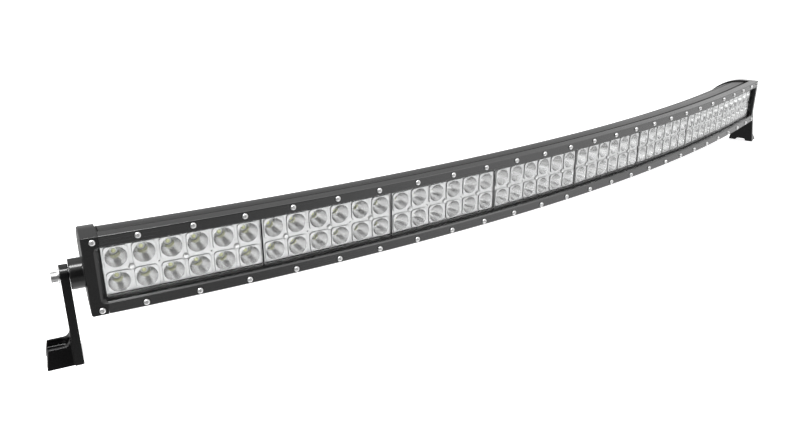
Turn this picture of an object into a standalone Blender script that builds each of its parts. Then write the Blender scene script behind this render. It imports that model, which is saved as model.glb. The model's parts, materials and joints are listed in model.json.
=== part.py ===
"""A curved double-row LED light bar that stands on two swivelling foot brackets.

The lit face is convex and looks along -Y, +X runs along the bar and +Z is up. The origin is the
middle of the footprint, on the surface that the feet are bolted to. Dimensions are in millimetres
and become metres when a mesh is made. Two kinds of local axes are used:

- a cross-section of the bar is drawn in (depth, height), where depth grows backwards from the front
  face and height is measured from the bar's centre line, and is swept along the bar's arc;
- an end piece is drawn in (out, depth, height) from the pivot axis, where out grows outwards from
  the end cap's outer face along the bar's tangent.
"""

import math

import bmesh
import bpy
from mathutils import Vector
from mathutils.geometry import tessellate_polygon

MM = 0.001
GAP = 0.3                    # left between pieces that touch

# the bar as a whole
FACE_RADIUS = 2959.0         # radius of the front face's arc, seen from above
END_ANGLE = 0.2163           # from the bar's middle to an end cap's outer face
HALF_HEIGHT = 39.5
CAP_LENGTH = 15.4            # an end cap, along the bar
ARC_STEPS = 24               # straight steps in each long piece
MOUNT_DROP = 84.0            # from the bar's centre line down to the feet

# light modules
MODULES = 8
MODULE_GAP = 1.8
COLUMNS = 6                  # LEDs along one module
COLUMN_PITCH = 25.6
ROW_HEIGHT = 12.75           # of each LED row above or below the centre line
CUP_MOUTH = 10.3             # radius of a reflector cup at its rim
CUP_THROAT = 3.75
CUP_SIDES = 8
REFLECTOR_HALF_HEIGHT = 25.5
REFLECTOR_FRONT = 10.6       # depth of the flat module's front at its middle
BOARD_FRONT = 29.0
BOARD_THICKNESS = 1.6
BOARD_HALF_HEIGHT = 25.0
CHIP_SIDE = 3.8
CHIP_HEIGHT = 1.0

# cross-section of the bezel rails, the lens and its gaskets
RAIL_INNER = 27.2            # height of a rail's visible inner edge
RAIL_BACK = 13.5
LIP_BACK = 5.0               # the lip that holds the lens in
LENS_FRONT = 5.3
LENS_BACK = 8.3
LENS_HALF_HEIGHT = 31.0
GASKET_FRONT = 8.6
GASKET_BACK = 11.0
GASKET_INNER = 27.0          # height of a lens gasket's inner edge

# cross-section of the housing
CHANNEL_HALF = 26.2          # the open channel that holds the modules
CHANNEL_FLOOR = 30.9
LEDGE_FRONT = 11.3
LEDGE_OUTER = 31.2
FLANGE_FRONT = 13.8
GROOVE_FLOOR = 35.5          # shadow groove between rail and housing
GROOVE_BACK = 19.0
HOUSING_TOP = 37.0
CROWN_DEPTH = 24.0           # where the flat top turns into the rounded back
CROWN_HEIGHT = -35.5         # centre height of the upper back arc
HOUSING_REAR = 83.5
REAR_HALF = 8.5
HOUSING_ARC_END = 46.0       # degrees, where the back arc meets the rear corner
FIN_ANGLES = (73.0, 67.0, 61.0, 55.0, 49.0)  # degrees, the cooling grooves' middles
FIN_GROOVE_WIDTH = 3.8
FIN_GROOVE_DEPTH = 7.0
CHAMBER_FRONT = 34.4         # the wiring chamber behind the channel's floor
CHAMBER_HALF = 25.5
CHAMBER_REAR = 68.0
CHAMBER_REAR_HALF = 8.0
CHAMBER_ARC = 62.0           # radius

# end caps
CAP_REAR = 86.5
CAP_REAR_HALF = 7.1
CAP_ARC_END = 42.0
CAP_CHAMFER = 0.8
CAP_INNER_CHAMFER = 1.6
END_GASKET_THICKNESS = 1.2
SCREW_RADIUS = 1.7
BUTTON_RADIUS = 3.0
BUTTON_HEIGHT = 2.2
FRONT_SCREW_HEIGHT = 34.4
FRONT_SCREW_INSET = 9.8      # from the cap's outer face
FRONT_SCREW_DEPTH = 10.0
SIDE_SCREWS = {"top": (21.0, 31.3), "bottom": (21.0, -31.3), "rear": (75.5, 0.0)}
SIDE_SCREW_END = -24.0       # how far a side screw reaches in, along out
COUNTERSINK_RADIUS = 4.6
SIDE_SOCKET_RADIUS = 2.2

# pivots and brackets
PIVOT_DEPTH = 18.6
BOSS_RADIUS = 14.7
BOSS_LENGTH = 12.6
BOLT_RADIUS = 3.0
BOLT_END = -6.0              # how far the pivot bolt reaches in, along out
BOLT_HEAD_RADIUS = 5.0
BOLT_HEAD_LENGTH = 6.0
BOLT_SOCKET_RADIUS = 2.9
BOLT_SOCKET_DEPTH = 3.2
WASHER_RADIUS = 7.0
WASHER_THICKNESS = 1.0
ARM_INNER = 12.9
ARM_THICKNESS = 8.0
ARM_HOLE_RADIUS = 3.5
ARM_TOP_RADIUS = 10.6
ARM_BOTTOM_HALF_WIDTH = 22.0
FOOT_HALF_WIDTH = 20.4
FOOT_TOP_HALF_WIDTH = 11.7
FOOT_REACH = 32.0            # from the arm's inner face
FOOT_LEAN = 3.0              # how far the foot's outer face leans in
FOOT_HEIGHT = 16.5
FOOT_FILLET = 7.0
TROUGH_HALF_WIDTH = 9.0
TROUGH_DEPTH = 7.0
TROUGH_START = 9.0           # from the arm's inner face to the trough's round end
RELIEF_BOTTOM_HALF = 9.5     # the relief under the foot
RELIEF_TOP_HALF = 7.0
RELIEF_HEIGHT = 4.0
SLOT_RADIUS = 5.0            # the foot's bolt slot
SLOT_TRAVEL = 6.0
SLOT_CENTRE = 20.5           # from the arm's inner face

# cable gland and breather vent, on the back
GLAND_X = -190.0
GLAND_SHANK = 6.0            # radius where it passes through the wall
GLAND_BORE = 4.4
GLAND_HEX = 8.2              # radius of its body's and nut's corners
GLAND_THREAD = 5.8
GLAND_BODY = 5.0             # length of the hexagonal body
GLAND_THREAD_END = 11.0      # this and the lengths below are measured from the body's seat
GLAND_NUT_HEX_END = 12.0
GLAND_NUT_END = 19.0
SEAL_BORE = 3.0
VENT_X = 190.0
VENT_SHANK = 4.0
VENT_HEAD = 6.5
VENT_LENGTH = 4.0

# driver board, in the chamber
DRIVER_X = -60.0
DRIVER_FRONT = 37.7
DRIVER_HALF_LENGTH = 80.0
DRIVER_HALF_HEIGHT = 19.0
DRIVER_BLOCKS = [            # half length, half height, place along and up, and rise of each component
    (9, 9, -62, 4, 14), (6, 6, -38, -8, 18), (6, 6, -38, 9, 18), (14, 8, -8, 2, 11),
    (5, 12, 22, 0, 8), (8, 5, 48, -8, 6), (5, 5, 66, 8, 16),
]

OPENING_ANGLE = END_ANGLE - CAP_LENGTH / FACE_RADIUS
MODULE_ANGLE = 2 * OPENING_ANGLE / MODULES
MODULE_LENGTH = MODULE_ANGLE * (FACE_RADIUS - REFLECTOR_FRONT) - MODULE_GAP
CORNER_Y = FACE_RADIUS - (FACE_RADIUS - CAP_REAR) * math.cos(END_ANGLE)
REAR_Y = CORNER_Y - CAP_CHAMFER * math.sin(END_ANGLE)   # the end caps' rearmost edge
BAR_ORIGIN = Vector((0, -REAR_Y / 2, MOUNT_DROP))

FINISHES = {                 # colour, roughness, metallic
    "housing": ((0.045, 0.047, 0.05), 0.42, 0.5),
    "rail": ((0.06, 0.062, 0.066), 0.35, 0.6),
    "end_cap": ((0.02, 0.02, 0.022), 0.4, 0.4),
    "bracket": ((0.016, 0.016, 0.018), 0.35, 0.4),
    "lens": ((0.92, 0.95, 0.96), 0.05, 0.0),
    "reflector": ((0.86, 0.87, 0.88), 0.12, 1.0),
    "board": ((0.85, 0.86, 0.84), 0.5, 0.0),
    "driver": ((0.02, 0.16, 0.06), 0.5, 0.0),
    "steel": ((0.72, 0.72, 0.72), 0.28, 1.0),
    "black_screw": ((0.05, 0.05, 0.055), 0.4, 0.9),
    "rubber": ((0.012, 0.012, 0.012), 0.8, 0.0),
    "nylon": ((0.02, 0.02, 0.022), 0.5, 0.0),
}


def material(name):
    found = bpy.data.materials.get(name)
    if found:
        return found
    colour, roughness, metallic = FINISHES[name]
    made = bpy.data.materials.new(name)
    made.use_nodes = True
    shader = made.node_tree.nodes["Principled BSDF"]
    shader.inputs["Base Color"].default_value = (*colour, 1.0)
    shader.inputs["Roughness"].default_value = roughness
    shader.inputs["Metallic"].default_value = metallic
    return made


def empty(name, location, turn=0.0, parent=None):
    made = bpy.data.objects.new(name, None)
    made.location = location
    made.rotation_euler.z = turn
    made.parent = parent
    bpy.context.scene.collection.objects.link(made)
    return made


def solid(name, sections, finish, parent, location=(0, 0, 0), turn=0.0, ring=False):
    """One closed body through a list of sections, each a list of loops of points in millimetres.

    The first loop of a section is its outline and the others are holes. The end sections are filled,
    or joined to each other when ring is set.
    """
    work = bmesh.new()
    rows = [[[work.verts.new(p) for p in loop] for loop in section] for section in sections]
    pairs = list(zip(rows, rows[1:] + rows[:1])) if ring else list(zip(rows, rows[1:]))
    for here, there in pairs:
        for a, b in zip(here, there):
            for i in range(len(a)):
                j = (i + 1) % len(a)
                work.faces.new((a[i], a[j], b[j], b[i]))
    if not ring:
        for row in (rows[0], rows[-1]):
            flat = [v for loop in row for v in loop]
            for corners in tessellate_polygon([[v.co for v in loop] for loop in row]):
                work.faces.new([flat[k] for k in corners])
    return finished(work, name, finish, parent, location, turn)


def finished(work, name, finish, parent, location, turn):
    """An object from a closed bmesh in millimetres."""
    bmesh.ops.scale(work, vec=(MM, MM, MM), verts=work.verts)
    bmesh.ops.recalc_face_normals(work, faces=work.faces)
    mesh = bpy.data.meshes.new(name)
    work.to_mesh(mesh)
    work.free()
    mesh.materials.append(material(finish))
    mesh.shade_smooth()
    mesh.set_sharp_from_angle(angle=math.radians(35))
    made = bpy.data.objects.new(name, mesh)
    made.location = Vector(location) * MM
    made.rotation_euler.z = turn
    made.parent = parent
    bpy.context.scene.collection.objects.link(made)
    return made


def combine(target, other, operation):
    """Cuts other out of target, or joins it on; other then is only a guide."""
    step = target.modifiers.new(other.name, "BOOLEAN")
    step.operation = operation
    step.solver = "EXACT"
    step.object = other
    other.hide_render = True
    other.display_type = "WIRE"


def mirrored(half):
    """A closed outline from its upper half, given from front to rear in (depth, height)."""
    return list(half) + [(depth, -height) for depth, height in reversed(half)]


def arc_points(centre, radius, start, end, steps):
    """Points on a circle, at angles in degrees from the first axis."""
    turns = [math.radians(start + (end - start) * i / steps) for i in range(steps + 1)]
    return [(centre[0] + radius * math.cos(t), centre[1] + radius * math.sin(t)) for t in turns]


def circle(centre, radius, sides):
    return arc_points(centre, radius, 0, 360, sides)[:-1]


# ---- shapes that follow the bar's arc -------------------------------------------------------------

def on_arc(angle, depth, height):
    reach = FACE_RADIUS - depth
    return Vector((reach * math.sin(angle), FACE_RADIUS - reach * math.cos(angle), height))


def swept(name, loops, half_angle, finish, bar):
    """A cross-section in (depth, height), swept along the bar between two equal angles."""
    angles = [half_angle * (2 * i / ARC_STEPS - 1) for i in range(ARC_STEPS + 1)]
    sections = [[[on_arc(t, d, h) for d, h in loop] for loop in loops] for t in angles]
    return solid(name, sections, finish, bar)


def housing_half(grooved):
    """Upper half of the housing's outline, from the channel's wall round to the rear."""
    centre = (CROWN_DEPTH, CROWN_HEIGHT)
    radius = HOUSING_TOP - CROWN_HEIGHT
    points = [
        (CHANNEL_FLOOR, CHANNEL_HALF),
        (LEDGE_FRONT, CHANNEL_HALF),
        (LEDGE_FRONT, LEDGE_OUTER),
        (FLANGE_FRONT, LEDGE_OUTER),
        (FLANGE_FRONT, GROOVE_FLOOR),
        (GROOVE_BACK, GROOVE_FLOOR),
        (GROOVE_BACK, HOUSING_TOP),
        (CROWN_DEPTH, HOUSING_TOP),
        *arc_points(centre, radius, 84, 78, 1),
    ]
    if grooved:
        for middle in FIN_ANGLES:
            way = Vector((math.cos(math.radians(middle)), math.sin(math.radians(middle))))
            side = Vector((way.y, -way.x)) * FIN_GROOVE_WIDTH / 2
            for reach, edge in ((0, -1), (1, -1), (1, 1), (0, 1)):
                rise = math.sqrt(radius**2 - side.length**2) - reach * FIN_GROOVE_DEPTH
                points.append(tuple(Vector(centre) + way * rise + side * edge))
    else:
        points += arc_points(centre, radius, 70, 54, 2)
    points += arc_points(centre, radius, HOUSING_ARC_END, HOUSING_ARC_END, 1)[:1]
    return points + [(HOUSING_REAR, REAR_HALF)]


def chamber():
    arc = arc_points((CROWN_DEPTH, CROWN_HEIGHT), CHAMBER_ARC, 76, 52, 2)
    return mirrored([(CHAMBER_FRONT, CHAMBER_HALF), *arc, (CHAMBER_REAR, CHAMBER_REAR_HALF)])


def make_housing(bar, ends):
    rear_reach = FACE_RADIUS - HOUSING_REAR
    end_room = CAP_LENGTH + END_GASKET_THICKNESS + 2.4 * GAP
    half_angle = END_ANGLE - end_room / rear_reach
    housing = swept("housing", [mirrored(housing_half(True)), chamber()], half_angle, "housing", bar)
    for name, x, radius in (("gland_hole", GLAND_X, GLAND_SHANK), ("vent_hole", VENT_X, VENT_SHANK)):
        profile = [(CHAMBER_REAR - 6, radius + GAP), (HOUSING_REAR + 3, radius + GAP)]
        combine(housing, rear_turned(name, profile, x, "housing", bar), "DIFFERENCE")
    for end in ends.values():
        for place, (depth, height) in SIDE_SCREWS.items():
            profile = [(SIDE_SCREW_END - 6, SCREW_RADIUS + 0.5), (-10, SCREW_RADIUS + 0.5)]
            hole = end.turned(f"screw_hole_{place}", profile, "housing", depth, height)
            combine(housing, hole, "DIFFERENCE")


def make_rails(bar):
    """The two bezel rails that clamp the lens, one over and one under it."""
    for name, side in (("top_rail", 1), ("bottom_rail", -1)):
        outline = [
            (0.0, HALF_HEIGHT - CAP_CHAMFER),
            (CAP_CHAMFER, HALF_HEIGHT),
            (RAIL_BACK, HALF_HEIGHT),
            (RAIL_BACK, LENS_HALF_HEIGHT + GAP + 0.2),
            (LIP_BACK, LENS_HALF_HEIGHT + GAP + 0.2),
            (LIP_BACK, RAIL_INNER),
            (CAP_INNER_CHAMFER, RAIL_INNER),
            (0.0, RAIL_INNER + CAP_INNER_CHAMFER),
        ]
        loop = [(d, h * side) for d, h in outline]
        swept(name, [loop], OPENING_ANGLE - 1.2 * GAP / FACE_RADIUS, "rail", bar)


def make_lens(bar):
    half_angle = OPENING_ANGLE - 1.2 * GAP / FACE_RADIUS
    swept("lens", [mirrored([(LENS_FRONT, LENS_HALF_HEIGHT), (LENS_BACK, LENS_HALF_HEIGHT)])],
          half_angle, "lens", bar)
    for name, side in (("top_lens_gasket", 1), ("bottom_lens_gasket", -1)):
        corners = [(GASKET_FRONT, LENS_HALF_HEIGHT), (GASKET_BACK, LENS_HALF_HEIGHT),
                   (GASKET_BACK, GASKET_INNER), (GASKET_FRONT, GASKET_INNER)]
        swept(name, [[(d, h * side) for d, h in corners]], half_angle, "rubber", bar)


# ---- the flat light modules ---------------------------------------------------------------------

def led_places():
    columns = [(i - (COLUMNS - 1) / 2) * COLUMN_PITCH for i in range(COLUMNS)]
    return [(x, z) for x in columns for z in (-ROW_HEIGHT, ROW_HEIGHT)]


def rectangle(half_x, half_z, x=0.0, z=0.0):
    left, right, low, high = x - half_x, x + half_x, z - half_z, z + half_z
    return [(left, low), (right, low), (right, high), (left, high)]


def make_module(number, bar):
    """A moulded reflector with its cups, and the LED board behind it."""
    angle = (number - (MODULES + 1) / 2) * MODULE_ANGLE
    centre = on_arc(angle, REFLECTOR_FRONT, 0)
    sections = []
    for y, radius in ((0, CUP_MOUTH), (BOARD_FRONT - GAP - REFLECTOR_FRONT, CUP_THROAT)):
        loops = [rectangle(MODULE_LENGTH / 2, REFLECTOR_HALF_HEIGHT)]
        loops += [circle(place, radius, CUP_SIDES) for place in led_places()]
        sections.append([[(x, y, z) for x, z in loop] for loop in loops])
    solid(f"reflector_{number}", sections, "reflector", bar, centre, angle)
    chips = [(rectangle(CHIP_SIDE / 2, CHIP_SIDE / 2, x, z), -CHIP_HEIGHT) for x, z in led_places()]
    outline = rectangle(MODULE_LENGTH / 2, BOARD_HALF_HEIGHT)
    face = BOARD_FRONT - REFLECTOR_FRONT
    board(f"led_board_{number}", outline, face, face + BOARD_THICKNESS, chips, "board", bar, centre, angle)


def board(name, outline, face, back, blocks, finish, parent, location, turn):
    """A circuit board as one body with the blocks on its face; each block is an outline and a rise."""
    work = bmesh.new()
    rows = [[work.verts.new((x, face, z)) for x, z in loop] for loop in [outline, *(b[0] for b in blocks)]]
    flat = [v for row in rows for v in row]
    for corners in tessellate_polygon([[v.co for v in row] for row in rows]):
        work.faces.new([flat[k] for k in corners])
    for row, y in zip(rows, [back, *(face + b[1] for b in blocks)]):
        far = [work.verts.new((v.co.x, y, v.co.z)) for v in row]
        for i in range(4):
            work.faces.new((row[i], row[(i + 1) % 4], far[(i + 1) % 4], far[i]))
        work.faces.new(far)
    finished(work, name, finish, parent, location, turn)


def make_driver(bar):
    """The driver board in the chamber, with its choke, capacitors and power block on its back."""
    angle = DRIVER_X / FACE_RADIUS
    outline = rectangle(DRIVER_HALF_LENGTH, DRIVER_HALF_HEIGHT)
    blocks = [(rectangle(*block[:4]), block[4]) for block in DRIVER_BLOCKS]
    board("driver_board", outline, DRIVER_FRONT + BOARD_THICKNESS, DRIVER_FRONT, blocks, "driver", bar,
          on_arc(angle, 0, 0), angle)


# ---- turned pieces ------------------------------------------------------------------------------

def turned_sections(profile, sides=12):
    """Rings along local X. A third value of "hex" in a profile row makes that ring a hexagon."""
    sections = []
    for row in profile:
        along, radius = row[:2]
        ring = []
        for i in range(sides):
            t = 2 * math.pi * i / sides
            r = radius
            if len(row) > 2:
                r = radius * math.cos(math.pi / 6) / math.cos(t % (math.pi / 3) - math.pi / 6)
            ring.append((along, r * math.cos(t), r * math.sin(t)))
        sections.append([ring])
    return sections


def rear_turned(name, profile, x, finish, bar, ring=False, sides=12):
    """A turned piece whose axis runs backwards through the bar's rear, x along the arc."""
    angle = x / FACE_RADIUS
    return solid(name, turned_sections(profile, sides), finish, bar, on_arc(angle, 0, 0),
                 angle + math.pi / 2, ring)


def make_rear_fittings(bar):
    """The cable gland with its nut and seal, and the breather vent."""
    seat = HOUSING_REAR + GAP
    root = CHAMBER_REAR - 3
    body_end, thread_end = seat + GLAND_BODY, seat + GLAND_THREAD_END
    rear_turned("cable_gland", [
        (root, GLAND_SHANK), (seat, GLAND_SHANK), (seat, GLAND_HEX, "hex"), (body_end, GLAND_HEX, "hex"),
        (body_end, GLAND_THREAD), (thread_end, GLAND_THREAD), (thread_end, GLAND_BORE), (root, GLAND_BORE),
    ], GLAND_X, "nylon", bar, ring=True)
    hex_end, nut_end = seat + GLAND_NUT_HEX_END, seat + GLAND_NUT_END
    inner = GLAND_THREAD + 0.4
    rear_turned("gland_nut", [
        (body_end + GAP, inner), (body_end + GAP, GLAND_HEX, "hex"), (hex_end, GLAND_HEX, "hex"),
        (nut_end - 2, inner + 0.2), (nut_end, inner - 0.8), (nut_end, inner - 2.2),
        (thread_end + 0.8, inner - 1.6), (thread_end + 0.8, inner),
    ], GLAND_X, "nylon", bar, ring=True)
    outer = GLAND_BORE - GAP
    rear_turned("gland_seal", [
        (seat + 1, outer), (thread_end + 0.6, outer), (thread_end + 0.6, SEAL_BORE), (seat + 1, SEAL_BORE),
    ], GLAND_X, "rubber", bar, ring=True)
    vent_end = seat + VENT_LENGTH
    rear_turned("breather_vent", [
        (CHAMBER_REAR - 2, VENT_SHANK), (seat, VENT_SHANK), (seat, VENT_HEAD), (vent_end - 1.5, VENT_HEAD),
        (vent_end, VENT_HEAD - 1.3),
    ], VENT_X, "nylon", bar)


# ---- the two ends ----------------------------------------------------------------------------------

class End:
    """One end of the bar. Its empty stands on the pivot axis, and its local x is side times out."""

    def __init__(self, name, side, bar):
        self.name = name
        self.side = side
        place = on_arc(side * END_ANGLE, PIVOT_DEPTH, 0) * MM
        self.pivot = empty(f"{name}_pivot", place, side * END_ANGLE, bar)

    def point(self, out, depth, height):
        return self.side * out, depth - PIVOT_DEPTH, height

    def prism(self, name, loops, inner, outer, finish):
        """Loops in (depth, height), from one distance out to another."""
        sections = [[[self.point(u, d, h) for d, h in loop] for loop in loops] for u in (inner, outer)]
        return solid(f"{self.name}_{name}", sections, finish, self.pivot)

    def turned(self, name, profile, finish, depth=PIVOT_DEPTH, height=0.0):
        """A turned piece whose axis runs outwards; its profile's first values are along out."""
        profile = [(self.side * row[0], *row[1:]) for row in profile]
        return solid(f"{self.name}_{name}", turned_sections(profile), finish, self.pivot,
                     (0, depth - PIVOT_DEPTH, height))

    def front_turned(self, name, profile, finish, out, height):
        """A turned piece whose axis runs backwards; its profile's first values are depths."""
        return solid(f"{self.name}_{name}", turned_sections(profile), finish, self.pivot,
                     (self.side * out, -PIVOT_DEPTH, height), math.pi / 2)


def cap_outline(inset=0.0):
    centre = (CROWN_DEPTH, CROWN_HEIGHT)
    radius = HALF_HEIGHT - CROWN_HEIGHT - inset
    return mirrored([
        (inset, HALF_HEIGHT - CAP_CHAMFER - inset),
        (CAP_CHAMFER + inset, HALF_HEIGHT - inset),
        (CROWN_DEPTH, HALF_HEIGHT - inset),
        *arc_points(centre, radius, 82, CAP_ARC_END, 5),
        (CAP_REAR - inset, CAP_REAR_HALF - inset / 2),
    ])


def make_cap(end):
    """The cast end cap with its pivot boss, and the screws that hold it."""
    sections = [(-CAP_LENGTH, 0.0), (-CAP_CHAMFER, 0.0), (0.0, CAP_CHAMFER)]
    rows = [[[end.point(u, d, h) for d, h in cap_outline(inset)]] for u, inset in sections]
    cap = solid(f"{end.name}_end_cap", rows, "end_cap", end.pivot)
    boss = solid(f"{end.name}_boss", turned_sections(
        [(end.side * -5, BOSS_RADIUS), (end.side * (BOSS_LENGTH - 1), BOSS_RADIUS),
         (end.side * BOSS_LENGTH, BOSS_RADIUS - 1)], 24), "end_cap", end.pivot)
    combine(cap, boss, "UNION")
    bore = end.turned("bolt_bore", [(BOLT_END - 1, BOLT_RADIUS + GAP), (BOSS_LENGTH + 2, BOLT_RADIUS + GAP)],
                      "end_cap")
    combine(cap, bore, "DIFFERENCE")
    hole_radius = SCREW_RADIUS + GAP
    for place, height in (("top", FRONT_SCREW_HEIGHT), ("bottom", -FRONT_SCREW_HEIGHT)):
        profile = [(-2, hole_radius), (FRONT_SCREW_DEPTH + 1, hole_radius)]
        hole = end.front_turned(f"front_hole_{place}", profile, "end_cap", -FRONT_SCREW_INSET, height)
        combine(cap, hole, "DIFFERENCE")
        end.front_turned(f"front_screw_{place}", [
            (FRONT_SCREW_DEPTH, SCREW_RADIUS), (-GAP, SCREW_RADIUS), (-GAP, BUTTON_RADIUS),
            (-BUTTON_HEIGHT / 2, BUTTON_RADIUS - 0.2), (-BUTTON_HEIGHT + GAP, BUTTON_RADIUS - 1),
            (-BUTTON_HEIGHT, 1)], "steel", -FRONT_SCREW_INSET, height)
    neck = COUNTERSINK_RADIUS / 2
    for place, (depth, height) in SIDE_SCREWS.items():
        profile = [(-CAP_LENGTH - 2, neck), (-2.4, neck), (-0.1, COUNTERSINK_RADIUS), (1, COUNTERSINK_RADIUS)]
        combine(cap, end.turned(f"side_hole_{place}", profile, "end_cap", depth, height), "DIFFERENCE")
        end.turned(f"side_screw_{place}", [
            (SIDE_SCREW_END, SCREW_RADIUS), (-2.6, neck - GAP), (-0.4, COUNTERSINK_RADIUS - 0.4),
            (-0.4, SIDE_SOCKET_RADIUS, "hex"), (-2.2, SIDE_SOCKET_RADIUS, "hex")],
            "black_screw", depth, height)


def make_end_gasket(end):
    holes = [circle(place, SCREW_RADIUS + 0.7, 8) for place in SIDE_SCREWS.values()]
    end.prism("end_gasket", [mirrored(housing_half(False)), *holes],
              -CAP_LENGTH - GAP - END_GASKET_THICKNESS, -CAP_LENGTH - GAP, "rubber")


def make_pivot_bolt(end):
    arm_outer = ARM_INNER + ARM_THICKNESS
    washer = arm_outer + GAP
    head = washer + WASHER_THICKNESS + GAP
    rings = [circle((PIVOT_DEPTH, 0), r, 16) for r in (WASHER_RADIUS, BOLT_RADIUS + GAP)]
    end.prism("pivot_washer", rings, washer, washer + WASHER_THICKNESS, "steel")
    top = head + BOLT_HEAD_LENGTH
    end.turned("pivot_bolt", [
        (BOLT_END, BOLT_RADIUS), (head, BOLT_RADIUS), (head, BOLT_HEAD_RADIUS), (top - 0.6, BOLT_HEAD_RADIUS),
        (top, BOLT_HEAD_RADIUS - 0.6), (top, BOLT_SOCKET_RADIUS, "hex"),
        (top - BOLT_SOCKET_DEPTH, BOLT_SOCKET_RADIUS, "hex")], "steel")


def arm_outline():
    """The A-shaped arm, round about the pivot and widest at the foot, in (depth, height)."""
    lean = math.asin((ARM_BOTTOM_HALF_WIDTH - ARM_TOP_RADIUS) / MOUNT_DROP)
    degrees = math.degrees(lean)
    top = arc_points((PIVOT_DEPTH, 0), ARM_TOP_RADIUS, degrees, 180 - degrees, 10)
    front, rear = PIVOT_DEPTH - ARM_BOTTOM_HALF_WIDTH, PIVOT_DEPTH + ARM_BOTTOM_HALF_WIDTH
    return top + [(front, -MOUNT_DROP), (rear, -MOUNT_DROP)]


def make_bracket(end):
    """The cast foot bracket: a plate arm on a hollowed foot with a bolt slot."""
    hole = circle((PIVOT_DEPTH, 0), ARM_HOLE_RADIUS, 16)
    bracket = end.prism("bracket", [arm_outline(), hole], ARM_INNER, ARM_INNER + ARM_THICKNESS, "bracket")

    def guide(name, sections, operation):
        rows = [[[end.point(*p) for p in section]] for section in sections]
        combine(bracket, solid(f"{end.name}_{name}", rows, "bracket", end.pivot), operation)

    def level(points, height):
        return [(u, d, height) for u, d in points]

    def floor_plan(half_width, reach):
        start = ARM_INNER + 2
        return [(start, PIVOT_DEPTH - half_width), (ARM_INNER + reach, PIVOT_DEPTH - half_width),
                (ARM_INNER + reach, PIVOT_DEPTH + half_width), (start, PIVOT_DEPTH + half_width)]

    foot_top = -MOUNT_DROP + FOOT_HEIGHT
    guide("foot", [level(floor_plan(FOOT_HALF_WIDTH, FOOT_REACH), -MOUNT_DROP),
                   level(floor_plan(FOOT_TOP_HALF_WIDTH, FOOT_REACH - FOOT_LEAN), foot_top)], "UNION")
    arm_outer = ARM_INNER + ARM_THICKNESS
    fillet = [(arm_outer - 2, foot_top - 2), (arm_outer + FOOT_FILLET, foot_top - 2)]
    fillet += arc_points((arm_outer + FOOT_FILLET, foot_top + FOOT_FILLET), FOOT_FILLET, 270, 180, 5)
    fillet += [(arm_outer - 2, foot_top + FOOT_FILLET)]
    sides = (PIVOT_DEPTH - FOOT_TOP_HALF_WIDTH + 0.2, PIVOT_DEPTH + FOOT_TOP_HALF_WIDTH - 0.2)
    guide("fillet", [[(u, d, h) for u, h in fillet] for d in sides], "UNION")

    def long_slot(start, end_out, radius):
        turn = arc_points((start, PIVOT_DEPTH), radius, 90, 270, 8)
        if end_out is None:
            return turn + [(start + 60, PIVOT_DEPTH - radius), (start + 60, PIVOT_DEPTH + radius)]
        return turn + arc_points((end_out, PIVOT_DEPTH), radius, -90, 90, 6)

    trough = long_slot(ARM_INNER + TROUGH_START + TROUGH_HALF_WIDTH, None, TROUGH_HALF_WIDTH)
    guide("trough", [level(trough, foot_top - TROUGH_DEPTH), level(trough, foot_top + 30)], "DIFFERENCE")
    low, high = -MOUNT_DROP - 1.6, -MOUNT_DROP + RELIEF_HEIGHT
    relief = [(-RELIEF_BOTTOM_HALF - 1, low), (-RELIEF_TOP_HALF, high), (RELIEF_TOP_HALF, high),
              (RELIEF_BOTTOM_HALF + 1, low)]
    guide("relief", [[(u, PIVOT_DEPTH + d, h) for d, h in relief] for u in (ARM_INNER - 5, ARM_INNER + 50)],
          "DIFFERENCE")
    middle = ARM_INNER + SLOT_CENTRE
    slot = long_slot(middle - SLOT_TRAVEL / 2, middle + SLOT_TRAVEL / 2, SLOT_RADIUS)
    guide("bolt_slot", [level(slot, -MOUNT_DROP - 5), level(slot, foot_top + 5)], "DIFFERENCE")


def main():
    for old in list(bpy.data.objects):
        bpy.data.objects.remove(old)
    bar = empty("bar", BAR_ORIGIN * MM)
    ends = {name: End(name, side, bar) for name, side in (("left", -1), ("right", 1))}
    make_housing(bar, ends)
    make_rails(bar)
    make_lens(bar)
    for number in range(1, MODULES + 1):
        make_module(number, bar)
    make_driver(bar)
    make_rear_fittings(bar)
    for end in ends.values():
        make_cap(end)
        make_end_gasket(end)
        make_pivot_bolt(end)
        make_bracket(end)


main()
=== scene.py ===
"""The finished look of a curved double-row LED light bar on two swivelling foot brackets.

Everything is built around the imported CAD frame, in millimetres until a mesh is made:

- a cross-section of the bar is drawn in (depth, height), where depth grows backwards from the front
  face and height is measured from the bar's centre line, and is swept along the bar's arc;
- an end piece is drawn in (out, depth, height), where out grows outwards from the end cap's outer
  face along the bar's tangent.
"""

import json
import math

import bmesh
import bpy
from mathutils import Matrix, Vector
from mathutils.geometry import tessellate_polygon


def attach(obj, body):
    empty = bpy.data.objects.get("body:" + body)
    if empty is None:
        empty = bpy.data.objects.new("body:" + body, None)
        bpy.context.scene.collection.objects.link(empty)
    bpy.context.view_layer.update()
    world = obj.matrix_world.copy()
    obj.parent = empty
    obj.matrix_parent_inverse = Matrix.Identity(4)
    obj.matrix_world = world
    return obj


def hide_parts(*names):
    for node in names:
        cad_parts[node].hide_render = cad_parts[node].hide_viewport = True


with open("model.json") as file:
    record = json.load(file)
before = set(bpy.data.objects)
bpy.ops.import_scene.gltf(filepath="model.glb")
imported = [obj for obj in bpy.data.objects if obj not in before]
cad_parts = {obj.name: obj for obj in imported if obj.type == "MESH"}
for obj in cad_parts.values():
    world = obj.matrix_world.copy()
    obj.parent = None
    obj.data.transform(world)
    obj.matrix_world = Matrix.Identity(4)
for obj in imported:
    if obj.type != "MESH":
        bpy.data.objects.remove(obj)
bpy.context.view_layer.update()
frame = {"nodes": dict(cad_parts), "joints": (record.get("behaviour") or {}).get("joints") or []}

MM = 0.001
GAP = 0.3                    # between pieces that touch
PIVOT_DEPTH = 18.6           # of the brackets' pivots behind the front face
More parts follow.
